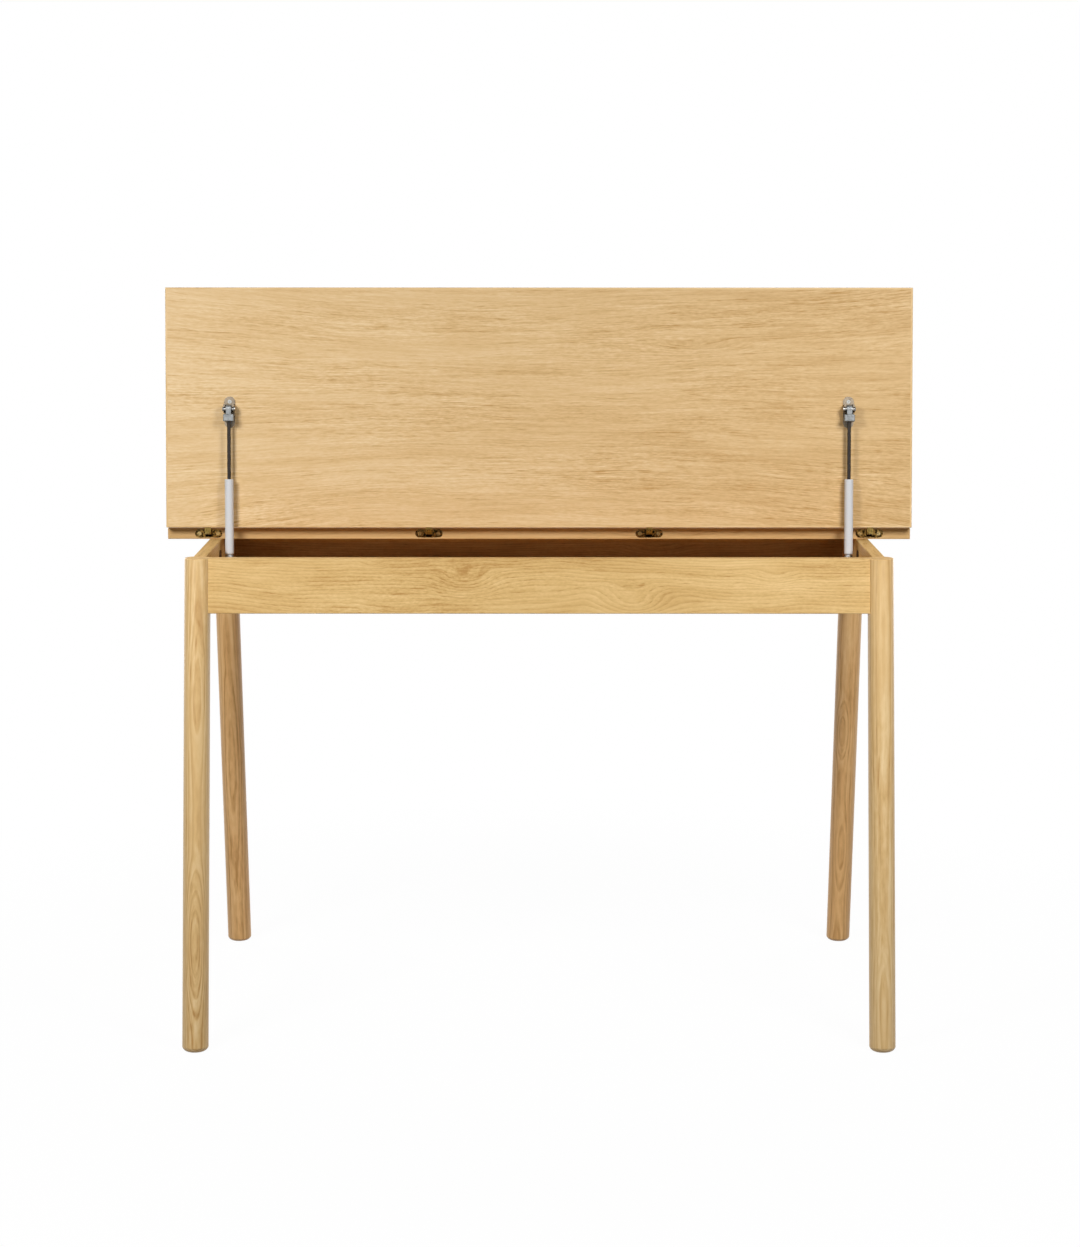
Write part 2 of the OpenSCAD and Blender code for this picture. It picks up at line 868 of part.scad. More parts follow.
// Places of the four screws of the lid brackets in the lid's frame, at the level z
module at_lid_screws(z) {
    for (sx = [-1, 1])
        for (u = [lid_pivot_u - lid_screw_near, lid_pivot_u + lid_screw_far])
            translate([sx * strut_x, -u, z]) rotate([180, 0, 0]) children();
}

// Outline of a hook ear round the pin: it is open away from the lid and towards the hinge
module hook_outline() {
    far = 4 * hook_r;
    tangent = hook_r * [-cos(hook_slope), -sin(hook_slope)];
    difference() {
        translate([-ear_near, plate_t - lid_pivot_out])
            square([ear_near + ear_far, lid_pivot_out - plate_t + hook_reach]);
        circle(r = hook_r);
        polygon([
            [0, 0], [hook_r, 0], [hook_r, far],
            tangent + far * [-sin(hook_slope), cos(hook_slope)], tangent
        ]);
    }
}

// Bracket on the lid's underside: a plate with two screws and two hook ears round the cross pin
module lid_bracket(sx) {
    plate_len = lid_screw_near + lid_screw_far + lid_plate_w;
    plate_mid = lid_pivot_u + (lid_screw_far - lid_screw_near) / 2;
    color(zinc)
    lid_frame()
        translate([sx * strut_x, 0, 0])
            difference() {
                union() {
                    translate([0, -plate_mid, -lid_t - plate_t])
                        rotate([0, 0, 90]) linear_extrude(plate_t) stadium(plate_len, lid_plate_w);
                    for (x = [-ear_x - ear_t, ear_x])
                        along_x(x, ear_t)
                            translate([-lid_pivot_u, -pin_w]) rotate(180) hook_outline();
                }
                translate([-sx * strut_x, 0, 0])
                    at_lid_screws(-lid_t - plate_t) screw(bracket_screw_len, run_gap);
            }
}

module lid_bracket_screws() {
    color(zinc)
    lid_frame() at_lid_screws(-lid_t - plate_t) recessed_screw(bracket_screw_len);
}

leg(-1, -1);  // front_left_leg
leg(1, -1);  // front_right_leg
leg(-1, 1);  // rear_left_leg
leg(1, 1);  // rear_right_leg
cross_rail(-1);  // front_rail
cross_rail(1);  // rear_rail
side_rail(-1);  // left_rail
side_rail(1);  // right_rail
compartment_floor();
cross_cleat(-1);  // front_cleat
cross_cleat(1);  // rear_cleat
side_cleat(-1);  // left_cleat
side_cleat(1);  // right_cleat
rear_top_core();
rear_top_lipping();
rear_top_batten();
batten_screws();
lid_core();
lid_lipping();
frame_cup(0);  // left_outer_frame_cup
frame_cup(1);  // left_inner_frame_cup
frame_cup(2);  // right_inner_frame_cup
frame_cup(3);  // right_outer_frame_cup
lid_cup(0);  // left_outer_lid_cup
lid_cup(1);  // left_inner_lid_cup
lid_cup(2);  // right_inner_lid_cup
lid_cup(3);  // right_outer_lid_cup
links(0);  // left_outer_links
links(1);  // left_inner_links
links(2);  // right_inner_links
links(3);  // right_outer_links
frame_cup_screws();
lid_cup_screws();
strut_bracket(-1);  // left_strut_bracket
strut_bracket(1);  // right_strut_bracket
strut_stud(-1);  // left_strut_stud
strut_stud(1);  // right_strut_stud
strut_bracket_screws();
strut_foot(-1);  // left_strut_foot
strut_foot(1);  // right_strut_foot
barrel(-1);  // left_barrel
barrel(1);  // right_barrel
gland(-1);  // left_gland
gland(1);  // right_gland
rod(-1);  // left_rod
rod(1);  // right_rod
piston(-1);  // left_piston
piston(1);  // right_piston
rod_head(-1);  // left_rod_head
rod_head(1);  // right_rod_head
head_pin(-1);  // left_head_pin
head_pin(1);  // right_head_pin
lid_bracket(-1);  // left_lid_bracket
lid_bracket(1);  // right_lid_bracket
lid_bracket_screws();
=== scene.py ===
# %% [markdown]
# # A lift-top writing desk in oak
# The desk is already built at its real size: every board, leg, hinge and gas strut is a piece of
# the frame that is loaded first. The pieces could be modelled here again, but they are exact
# already. So this notebook only gives them their finish, and sets up the camera and the light.
# One unit is one metre, X runs to the right, Y to the back and Z up.

import json
from math import pi, radians

import bmesh
import bpy
from mathutils import Matrix, Vector


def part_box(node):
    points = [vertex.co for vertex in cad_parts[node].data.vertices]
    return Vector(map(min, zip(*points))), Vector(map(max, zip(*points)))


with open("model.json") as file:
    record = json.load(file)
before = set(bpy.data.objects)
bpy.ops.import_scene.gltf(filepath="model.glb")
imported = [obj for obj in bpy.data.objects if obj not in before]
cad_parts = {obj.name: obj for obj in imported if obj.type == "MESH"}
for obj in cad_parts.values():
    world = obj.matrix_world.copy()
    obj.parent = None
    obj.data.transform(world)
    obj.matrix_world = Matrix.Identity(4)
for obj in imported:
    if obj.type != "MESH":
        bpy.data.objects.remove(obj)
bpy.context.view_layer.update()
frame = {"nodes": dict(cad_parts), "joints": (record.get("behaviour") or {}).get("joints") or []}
NODES = frame["nodes"]

# %% [markdown]
# ## The camera
# The desk is seen straight on from a little above the open lid, through a long lens, so the legs
# hardly spread with distance. The camera could be placed by eye, but here its place, tilt and
# focal length come from fitting the desk's known edges to the picture, and the result is written
# as plain sizes. The picture is 1080 wide and 1247 high.

# %% Camera
PICTURE_WIDTH = 1080
FOCAL_PIXELS = 2886
SENSOR_WIDTH = 36
CAMERA_AT = Vector((-0.0017, -4.589, 1.2977))
CAMERA_DOWN = radians(8.535)
CAMERA_YAW = radians(-0.038)
CAMERA_ROLL = radians(-0.02)

camera = bpy.data.objects.new("camera", bpy.data.cameras.new("camera"))
bpy.context.scene.collection.objects.link(camera)
camera.data.sensor_fit = "HORIZONTAL"
camera.data.sensor_width = SENSOR_WIDTH
camera.data.lens = SENSOR_WIDTH * FOCAL_PIXELS / PICTURE_WIDTH
camera.location = CAMERA_AT
camera.rotation_euler = (pi / 2 - CAMERA_DOWN, CAMERA_ROLL, CAMERA_YAW)
bpy.context.scene.camera = camera
bpy.context.scene.view_settings.view_transform = "Standard"
print("lens:", round(camera.data.lens, 1), "mm")

# %% [markdown]
# ## Adding nodes in one line
# A material is a small graph of nodes. Each node could be made in several lines of its own, but
# then a finish would fill a page. So short helpers do it: one adds a node and sets or links its
# inputs, one does a sum, one adds a weighed part to a total, and one starts a material and hands
# back its shader. Later cells then hold only what makes a finish special.

# %% Node helpers
def node(tree, kind, inputs=None, **settings):
    """A new node; an input that is given a socket is linked, and any other value is set."""
    made = tree.nodes.new("ShaderNode" + kind)
    for name, value in settings.items():
        setattr(made, name, value)
    for key, value in (inputs or {}).items():
        if isinstance(value, bpy.types.NodeSocket):
            tree.links.new(value, made.inputs[key])
        else:
            made.inputs[key].default_value = value
    return made


def calc(tree, operation, *values):
    """The result of one sum, as a socket."""
    return node(tree, "Math", dict(enumerate(values)), operation=operation).outputs[0]


def plus(tree, total, part, weight):
    """A total with a part added, as much of it as the weight says."""
    return calc(tree, "ADD", total, calc(tree, "MULTIPLY", part, weight))


def new_material(name):
    """A material with its tree, its shader and the place of each point on the piece."""
    material = bpy.data.materials.new(name)
    material.use_nodes = True
    tree = material.node_tree
    shader = tree.nodes["Principled BSDF"]
    place = node(tree, "TexCoord").outputs["Object"]
    return material, tree, shader, place


print("node helpers ready")

# %% [markdown]
# ## Colours
# A shader takes linear values, which are hard to read. Colours could be typed in that way, but it
# is easier to compare them with a picture when they are written as they are read off it, from 0
# to 255. So one helper turns them into linear values by the standard curve of screen colours, and
# another sets up a ramp, which turns any value between 0 and 1 into a colour.

# %% Colour helpers
FULL_LEVEL = 255
STRAIGHT_TO = 0.04045
STRAIGHT_SLOPE = 12.92
CURVE_OFFSET = 0.055
CURVE_POWER = 2.4
NEW_STOP_AT = 0.5
WHITE = (1, 1, 1, 1)


def grey(value):
    """A grey as a colour."""
    return (value, value, value)


def srgb(red, green, blue):
    """A colour read off a picture, in linear values."""
    def linear(value):
        share = value / FULL_LEVEL
        if share <= STRAIGHT_TO:
            return share / STRAIGHT_SLOPE
        return ((share + CURVE_OFFSET) / (1 + CURVE_OFFSET)) ** CURVE_POWER

    return (linear(red), linear(green), linear(blue))


def ramp(tree, value, stops):
    """Colours between stops, each a position and a colour."""
    made = node(tree, "ValToRGB", {"Fac": value})
    elements = made.color_ramp.elements
    while len(elements) < len(stops):
        elements.new(NEW_STOP_AT)
    for element, (position, colour) in zip(elements, stops):
        element.position = position
        element.color = (*colour, 1)
    return made.outputs["Color"]


print("mid grey as a linear value:", round(srgb(128, 128, 128)[0], 3))

# %% [markdown]
# ## Noise
# Wood, metal and paint all change a little from point to point, and noise does that for each of
# them. A picture of real oak could be laid on instead, but it would stretch round the corners and
# end at its edge. Noise fills space: with few blots to the metre along one axis and many along
# the others it becomes streaks, and a shift moves to another part of it, so no two boards match.

# %% Noise helpers
NOISE_DETAIL = 2.0
NOISE_ROUGH = 0.5
NOISE_MIDDLE = 0.5


def noise(tree, place, stretch, detail=NOISE_DETAIL, rough=NOISE_ROUGH, shift=0.0):
    """Noise between 0 and 1, with so many blots to the metre along each axis."""
    mapped = node(tree, "Mapping", {"Vector": place, "Scale": stretch, "Location": (shift,) * 3})
    inputs = {"Vector": mapped.outputs[0], "Scale": 1.0, "Detail": detail, "Roughness": rough}
    return node(tree, "TexNoise", inputs).outputs["Fac"]


def centred_noise(tree, place, stretch, shift, rough=NOISE_ROUGH):
    """Noise that goes as far below 0 as above it."""
    return calc(tree, "SUBTRACT", noise(tree, place, stretch, rough=rough, shift=shift), NOISE_MIDDLE)


print("noise helpers ready")

# %% [markdown]
# ## Sky and floor
# The desk stands on plain white paper that fades into a white background. The paper could be lit
# until it is white, but that would burn out the pale wood. So the sky and the floor look white
# only to the camera and in shiny metal, and give the wood no more light than a grey studio would.
# The floor keeps a little of the desk's own shadow.

# %% White to the camera
SKY_LIGHT = 0.05


def seen_directly(tree):
    """1 for camera, mirror and glass rays, and 0 for the light that falls on the desk."""
    path = node(tree, "LightPath").outputs
    glossy = calc(tree, "MAXIMUM", path["Is Glossy Ray"], path["Is Transmission Ray"])
    return calc(tree, "MAXIMUM", path["Is Camera Ray"], glossy)


def make_sky():
    """A sky that looks white and lights the desk dimly from all round."""
    world = bpy.data.worlds.new("studio")
    bpy.context.scene.world = world
    world.use_nodes = True
    tree = world.node_tree
    strength = node(tree, "MapRange", {"Value": seen_directly(tree), "To Min": SKY_LIGHT, "To Max": 1.0})
    background = tree.nodes["Background"]
    background.inputs["Color"].default_value = WHITE
    tree.links.new(strength.outputs[0], background.inputs["Strength"])


make_sky()
print("sky light:", SKY_LIGHT)

# %% [markdown]
# ## The paper on the floor
# A large flat sheet is all that the floor needs. One plain white would do near the lamps, but its
# far end would turn grey. So a little real paper, which takes the shadow, is mixed with white that
# shines by itself, and further from the desk the shining white takes over. To the wood the sheet
# is a plain grey that throws little light back.

# %% Floor
PAPER = (0.95, 0.95, 0.95, 1)
FLOOR_BOUNCE = (0.34, 0.33, 0.31, 1)
FLOOR_SIDE = 60
FLOOR_WHITE_SHARE = 0.97
PLAIN_FLOOR_FROM = 0.7
PLAIN_FLOOR_TO = 1.6


def floor_sheet():
    """One square face, level with the feet."""
    mesh = bpy.data.meshes.new("floor")
    shape = bmesh.new()
    bmesh.ops.create_grid(shape, x_segments=1, y_segments=1, size=FLOOR_SIDE / 2)
    shape.to_mesh(mesh)
    shape.free()
    sheet = bpy.data.objects.new("floor", mesh)
    bpy.context.scene.collection.objects.link(sheet)
    return sheet


def white_paper():
    """White paper that keeps a faint shadow near the desk."""
    material, tree, shader, place = new_material("white_paper")
    tree.nodes.remove(shader)
    paper = node(tree, "BsdfDiffuse", {"Color": PAPER})
    bounce = node(tree, "BsdfDiffuse", {"Color": FLOOR_BOUNCE})
    white = node(tree, "Emission", {"Color": WHITE, "Strength": 1.0})
    away = node(tree, "VectorMath", {0: place}, operation="LENGTH").outputs["Value"]
    reach = {"From Min": PLAIN_FLOOR_FROM, "From Max": PLAIN_FLOOR_TO, "To Min": FLOOR_WHITE_SHARE}
    fade = node(tree, "MapRange", {"Value": away, **reach}, interpolation_type="SMOOTHSTEP").outputs[0]
    shown = node(tree, "MixShader", {0: fade, 1: paper.outputs[0], 2: white.outputs[0]})
    surface = node(tree, "MixShader", {0: seen_directly(tree), 1: bounce.outputs[0], 2: shown.outputs[0]})
    tree.links.new(surface.outputs[0], tree.nodes["Material Output"].inputs["Surface"])
    return material


floor = floor_sheet()
floor.data.materials.append(white_paper())
print("floor:", FLOOR_SIDE, "m wide")

# %% [markdown]
# ## Lamps
# The picture tells where its lamps stood. Each strut throws a soft shadow inwards and a little
# down, the lid throws a dark line on the edge of the rear top, and each round leg shows two soft
# bright lines, one on each side of its middle. One wide lamp overhead would be simpler, but it
# would give none of these. So two soft boxes stand in front, well above the desk, and their places
# follow from how far the shadows of the struts lie from the struts. Each has a grid that keeps its
# beam narrow, and is turned to its own end of the desk, so that the lid is a little darker in the
# middle. Two wide ones behind keep the back and the ends of the desk light. They stand low, so
# that they reach the upright faces and hardly brighten the flat top.

# %% Lamps
FRONT_LAMPS = {
    "left_box": {"at": (-1.34, -1.84, 1.97), "aim": (-0.72, 0, 0.66), "power": 14.5},
    "right_box": {"at": (1.20, -1.78, 1.97), "aim": (0.72, 0, 0.66), "power": 13.3},
}
FRONT_LAMP_SIZE = (0.72, 0.8)
FRONT_LAMP_SPREAD = radians(100)
BACK_LAMPS = {
    "back_left_box": {"at": (-2.1, 2.6, 1.2), "aim": (0, 0, 0.7), "power": 46},
    "back_right_box": {"at": (2.1, 2.6, 1.2), "aim": (0, 0, 0.7), "power": 46},
}
BACK_LAMP_SIZE = (1.8, 1.8)


def make_lamp(name, at, aim, power, size):
    """A soft box that faces its aim and is not seen itself."""
    data = bpy.data.lights.new(name, "AREA")
    data.shape = "RECTANGLE"
    data.size, data.size_y = size
    data.energy = power
    lamp = bpy.data.objects.new(name, data)
    bpy.context.scene.collection.objects.link(lamp)
    lamp.location = at
    lamp.rotation_euler = (Vector(aim) - Vector(at)).to_track_quat("-Z", "Y").to_euler()
    lamp.visible_camera = False
    return data


for lamp_name, lamp_values in FRONT_LAMPS.items():
    box = make_lamp(lamp_name, size=FRONT_LAMP_SIZE, **lamp_values)
    box.spread = FRONT_LAMP_SPREAD
for lamp_name, lamp_values in BACK_LAMPS.items():
    make_lamp(lamp_name, size=BACK_LAMP_SIZE, **lamp_values)
print("lamps:", sorted(lamp.name for lamp in bpy.data.lights))

# %% [markdown]
# ## Grain as a solid
# Oak could be painted on with straight streaks, but then the grain would not turn a corner. Here
# the wood is a solid. Each point gets its distance from the heart of the tree, with a slow sway,
# and every layer of the grain is drawn along lines where that distance stays the same. On a board
# far from the heart the lines run nearly straight, on a leg cut close to it they close into long
# arches, and a swelling in the distance, as under a branch, bends them round an eye.
#
# How a piece was cut from the tree is written as a small dictionary: its middle, its turn, where
# the heart lies on the two axes across the grain, how far the lines sway, how much they flare
# towards the ends, its eyes (each a middle, a size and a lift), and a shift that picks other noise.

# %% The grain's own coordinates
NO_TURN = (0, 0, 0)
SWAY_BLOTS = (2.4, 8, 8)
FINE_SWAY_BLOTS = (9, 25, 25)
FINE_SWAY_SHARE = 0.15


def swelling(tree, wood, middle, size, lift):
    """A smooth hump in the growth rings, highest in its middle."""
    inputs = {"Vector": wood, "Location": middle, "Scale": size}
    local = node(tree, "Mapping", inputs, vector_type="TEXTURE").outputs[0]
    away = node(tree, "VectorMath", {0: local}, operation="LENGTH").outputs["Value"]
    limits = {"Value": away, "From Min": 1.0, "From Max": 0.0, "To Min": 0.0, "To Max": lift}
    return node(tree, "MapRange", limits, interpolation_type="SMOOTHSTEP").outputs[0]


def grain_place(tree, place, cut):
    """A point's place in the grain, its distance from the heart, and how far along it lies."""
    inputs = {"Vector": place, "Location": cut["middle"], "Rotation": cut.get("turn", NO_TURN)}
    wood = node(tree, "Mapping", inputs, vector_type="TEXTURE").outputs[0]
    along, across, deep = node(tree, "SeparateXYZ", {0: wood}).outputs
    flat = node(tree, "CombineXYZ", {"Y": across, "Z": deep}).outputs[0]
    out = node(tree, "VectorMath", {0: flat, 1: (0, *cut["heart"])}, operation="DISTANCE").outputs["Value"]
    for blots, share in ((SWAY_BLOTS, 1.0), (FINE_SWAY_BLOTS, FINE_SWAY_SHARE)):
        out = plus(tree, out, centred_noise(tree, wood, blots, cut["shift"]), share * cut["sway"])
    if "flare" in cut:
        squeeze = calc(tree, "MULTIPLY", calc(tree, "MULTIPLY", along, along), cut["flare"])
        out = calc(tree, "SUBTRACT", out, calc(tree, "MULTIPLY", squeeze, across))
    for middle, size, lift in cut.get("eyes", ()):
        out = calc(tree, "ADD", out, swelling(tree, wood, middle, size, lift))
    sideways = calc(tree, "ADD", across, deep)
    grain = node(tree, "CombineXYZ", {"X": along, "Y": out, "Z": sideways}).outputs[0]
    return grain, out, along


print("sway blots to the metre:", SWAY_BLOTS)

# %% [markdown]
# ## Streaks, rings and patches
# One noise could stand for the grain, but oak shows several sizes of streak at once. So five
# layers make it: a slow tone, broad bands, lines, hair lines and flecks, each finer than the last.
# Growth rings add a sharper dark edge each year, which fades through the year. On a real board
# the fine streaks come and go, so slow patches make them faint in one place and strong in the
# next.

# %% Streaks, rings and patches
OAK_LAYERS = {
    "tone": (1.1, 10, 6),
    "bands": (2.2, 42, 8),
    "lines": (4.5, 160, 14),
    "hair": (10, 540, 0),
    "flecks": (70, 640, 0),
}
FINE_LAYERS = ("hair", "flecks")
RING_STOPS = [(0.0, 0.8), (0.1, 1.0), (0.4, 0.35), (0.9, 0.0), (1.0, 0.8)]
PATCH_BLOTS = (3.2, 20, 6)
PATCH_SHIFT = 7
PATCH_FROM = 0.32
PATCH_TO = 0.68
PATCH_FAINT = 0.55
PATCH_STRONG = 1.4


def growth_rings(tree, out, gap):
    """1 at the dark edge of each year's ring, fading through the year."""
    phase = calc(tree, "FRACT", calc(tree, "DIVIDE", out, gap))
    return ramp(tree, phase, [(position, grey(level)) for position, level in RING_STOPS])


def grain_patches(tree, grain, shift):
    """How strong the fine streaks are at a point."""
    patches = noise(tree, grain, PATCH_BLOTS, shift=shift + PATCH_SHIFT)
    reach = {"From Min": PATCH_FROM, "From Max": PATCH_TO, "To Min": PATCH_FAINT, "To Max": PATCH_STRONG}
    return node(tree, "MapRange", {"Value": patches, **reach}).outputs[0]


print("oak layers:", list(OAK_LAYERS))

# %% [markdown]
# ## Pores, and one depth for it all
# Oak's pores are short dark dashes that gather where a ring is darkest. They could be modelled as
# grooves, but they are a fraction of a millimetre wide, so they are one more noise, kept only where
# it is high. All layers are then added up into one depth, each with its own weight, because one
# number is easy to turn into colour and easy to set for each kind of board. A cut may also say how
# many times shorter than usual its streaks are, how often the fine ones break up sideways, and how
# many metres lie between its rings.

# %% Depth of tone
PLAIN_WEIGHTS = {
    "tone": 0.25, "bands": 0.28, "lines": 0.28, "hair": 0.4, "flecks": 0.3, "rings": 0.05, "pores": 0.3,
}
PLAIN_RING_GAP = 0.004
PLAIN_CROSS = 24
LAYER_ROUGH = 0.55
MID_DEPTH = 0.5
MID_RING = 0.4
PORE_BLOTS = (18, 600, 0)
PORE_SHIFT = 9
PORE_FROM = 0.58
PORE_TO = 0.74
PORES_EVERYWHERE = 0.35
PORES_AT_RINGS = 0.65


def stretched(blots, cut, fine):
    """A layer's blots to the metre on wood that was cut this way."""
    short = Vector((cut.get("short", 1.0), 1, 1))
    cross = Vector((0, 0, cut.get("cross", PLAIN_CROSS) if fine else 0))
    return Vector(blots) * short + cross


def pore_dashes(tree, grain, cut, patches, rings):
    """How much of a pore lies at a point."""
    dashes = noise(tree, grain, stretched(PORE_BLOTS, cut, True), shift=cut["shift"] + PORE_SHIFT)
    gather = calc(tree, "MULTIPLY", patches, plus(tree, PORES_EVERYWHERE, rings, PORES_AT_RINGS))
    dark = ramp(tree, dashes, [(PORE_FROM, grey(0.0)), (PORE_TO, grey(1.0))])
    return calc(tree, "MULTIPLY", dark, gather)


def oak_depth(tree, place, cut, weights, drift):
    """How deep the oak's tone is at a point, and how much of a pore lies there."""
    grain, out, along = grain_place(tree, place, cut)
    rings = growth_rings(tree, out, cut.get("gap", PLAIN_RING_GAP))
    patches = grain_patches(tree, grain, cut["shift"])
    depth = plus(tree, MID_DEPTH, along, drift)
    for step, (layer, blots) in enumerate(OAK_LAYERS.items()):
        fine = layer in FINE_LAYERS
        level = centred_noise(tree, grain, stretched(blots, cut, fine), cut["shift"] + step, LAYER_ROUGH)
        if fine:
            level = calc(tree, "MULTIPLY", level, patches)
        depth = plus(tree, depth, level, weights[layer])
    depth = plus(tree, depth, calc(tree, "SUBTRACT", rings, MID_RING), weights["rings"])
    pores = pore_dashes(tree, grain, cut, patches, rings)
    return plus(tree, depth, pores, weights["pores"]), pores


print("oak's ring gap:", PLAIN_RING_GAP, "m")

# %% [markdown]
# ## From depth to a finish
# A ramp turns the depth from pale to deep oak. The pores could be left as colour alone, but on
# real oak they are open and catch no shine, so they are also a little rougher and are pressed in
# with a bump. One function makes a whole oak from a cut and three tones, and one puts a finish on
# pieces of the frame.

# %% Oak
TONE_STOPS = (0.2, 0.5, 0.8)
OAK_GLOSS = 0.2
PORE_ROUGHER = 0.25
PORE_BUMP = 0.4
PORE_DEPTH = 0.0002


def finish_oak(tree, shader, depth, pores, tones, rough, gloss=OAK_GLOSS):
    """Turn depth into colour, and press the pores in."""
    shader.inputs["Specular IOR Level"].default_value = gloss
    stops = [(position, srgb(*tone)) for position, tone in zip(TONE_STOPS, tones)]
    tree.links.new(ramp(tree, depth, stops), shader.inputs["Base Color"])
    tree.links.new(plus(tree, rough, pores, PORE_ROUGHER), shader.inputs["Roughness"])
    bump = node(tree, "Bump", {"Height": pores, "Strength": PORE_BUMP, "Distance": PORE_DEPTH}, invert=True)
    tree.links.new(bump.outputs[0], shader.inputs["Normal"])


def oak(name, cut, tones, rough, weights=None, drift=0.0, gloss=OAK_GLOSS):
    """Oiled or thinly lacquered oak, from pale to deep, with its grain as it was cut."""
    material, tree, shader, place = new_material(name)
    depth, pores = oak_depth(tree, place, cut, {**PLAIN_WEIGHTS, **(weights or {})}, drift)
    finish_oak(tree, shader, depth, pores, tones, rough, gloss)
    return material


def dress(material, *names):
    """Give pieces of the frame a finish."""
    for name in names:
        for slot in NODES[name].material_slots:
            slot.material = material


print("oak ready")

# %% [markdown]
# ## Lid and rear top
# Both are boards faced with veneer and edged with solid oak. They could share one straight grain,
# but the lid's bands draw together at its middle and spread towards its ends, with a pale flame
# in the upper right, and its left end is a little paler than its right. So the lid has a cut of
# its own. It stands open as it was built, turned by the whole travel of its hinge, and its grain
# is turned with it, which keeps it lying in the face of the board.

# %% Lid and rear top veneer
VENEER_TONES = ((234, 207, 164), (216, 182, 131), (186, 146, 88))
VENEER_WEIGHTS = {"lines": 0.25, "hair": 0.5, "flecks": 0.46, "rings": 0.03, "pores": 0.36}
VENEER_ROUGH = 0.46
VENEER_CUT = {"heart": (-0.9, 0.0), "sway": 0.022, "gap": 0.02, "short": 1.4}
LID_DRIFT = 0.14
LID_FLAME = ((0.26, 0.095, 0), (0.13, 0.022, 0.1), 0.012)
lid_joint = next(joint for joint in frame["joints"] if joint["name"] == "lid_hinge")
LID_LEAN = radians(lid_joint["range_deg"][1])


def middle_of(name):
    """The middle of a piece's box."""
    low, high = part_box(name)
    return (low + high) / 2


lid_cut = {
    **VENEER_CUT, "middle": middle_of("lid_core"), "turn": (LID_LEAN, 0, 0), "flare": 0.5, "shift": 2.0,
    "eyes": [LID_FLAME],
}
top_cut = {**VENEER_CUT, "middle": middle_of("rear_top_core"), "shift": 4.0}
dress(oak("lid_veneer", lid_cut, VENEER_TONES, VENEER_ROUGH, VENEER_WEIGHTS, LID_DRIFT), "lid_core")
dress(oak("top_veneer", top_cut, VENEER_TONES, VENEER_ROUGH, VENEER_WEIGHTS), "rear_top_core")
print("lid lean:", lid_joint["range_deg"][1], "middle:", [round(part, 3) for part in lid_cut["middle"]])

# %% [markdown]
# ## Edging
# The edging is four strips of solid oak glued round each board. One material could cover them all
# with grain along X, but on the two short strips the grain has to run from front to back. So the
# material holds both directions of grain, and a step on X picks the second one past each end of
# the veneered core. The Mix node that does it has one pair of inputs for each kind of value, all
# with the same names, so its pair of plain numbers is picked by place, 2 and 3.

# %% Edging
EDGE_TONES = {
    "lid_lipping": ((236, 209, 166), (222, 189, 137), (200, 162, 108)),
    # The rear top's edging is deeper than the lid's, a painted shade for the shadow the open lid throws on
    # its front edge.
    "rear_top_lipping": ((220, 185, 135), (203, 165, 112), (175, 135, 84)),
}
EDGE_CUT = {"heart": (-0.4, -0.4), "sway": 0.01}
MIX_FIRST = 2
MIX_SECOND = 3


def edging(strips, board, lean, shift):
    """Solid oak strips whose grain runs along each side of the board."""
    material, tree, shader, place = new_material(strips + "_oak")
    lying = Matrix.Rotation(lean, 3, "X")
    looks = []
    for step, turned in enumerate((lying, lying @ Matrix.Rotation(pi / 2, 3, "Z"))):
        turn = tuple(turned.to_euler())
        cut = {**EDGE_CUT, "middle": middle_of(board), "turn": turn, "shift": shift + step}
        looks.append(oak_depth(tree, place, cut, PLAIN_WEIGHTS, drift=0.0))
    (long_depth, long_pores), (short_depth, short_pores) = looks
    sideways = calc(tree, "ABSOLUTE", node(tree, "SeparateXYZ", {0: place}).outputs["X"])
    past = calc(tree, "GREATER_THAN", sideways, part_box(board)[1].x)
    depth = node(tree, "Mix", {"Factor": past, MIX_FIRST: long_depth, MIX_SECOND: short_depth}).outputs[0]
    pores = node(tree, "Mix", {"Factor": past, MIX_FIRST: long_pores, MIX_SECOND: short_pores}).outputs[0]
    finish_oak(tree, shader, depth, pores, EDGE_TONES[strips], VENEER_ROUGH)
    dress(material, strips)


edging("lid_lipping", "lid_core", lean=LID_LEAN, shift=6.0)
edging("rear_top_lipping", "rear_top_core", lean=0.0, shift=8.0)
print("edging dressed:", list(EDGE_TONES))

# %% [markdown]
# ## Rails
# The four rails are solid boards, oiled, and yellower than the veneer. They could have the lid's
# calm grain, but the front one was cut near the bark, so its grain is patchy, with wide pale and
# deep clouds and two large swirls where a branch was close. Swellings in the rings give those. The
# side rails carry the same wood with the grain turned to run front to back. The rear one, which the
# lid keeps in the shade, gets deeper tones, a painted shade for the dark inside of the compartment.

# %% Rails
RAIL_TONES = ((233, 199, 141), (213, 176, 114), (184, 140, 79))
REAR_RAIL_SHADE_TONES = ((212, 176, 126), (190, 151, 100), (161, 122, 74))
RAIL_WEIGHTS = {
    "tone": 0.44, "bands": 0.5, "lines": 0.4, "hair": 0.36, "flecks": 0.4, "rings": 0.16, "pores": 0.3,
}
RAIL_ROUGH = 0.42
RAIL_CUT = {"heart": (0.06, -0.11), "cross": 260, "short": 2.2}
FRONT_TO_BACK = (0, 0, pi / 2)
FRONT_EYES = [
    ((-0.112, 0.0, 0.005), (0.070, 0.1, 0.034), 0.012),
    ((0.141, 0.0, -0.022), (0.080, 0.1, 0.036), 0.016),
    ((-0.255, 0.0, 0.032), (0.030, 0.1, 0.009), 0.005),
    ((0.36, 0.0, 0.012), (0.055, 0.1, 0.022), 0.008),
]
REAR_EYES = [((0.2, 0.0, 0.0), (0.09, 0.1, 0.03), 0.012)]
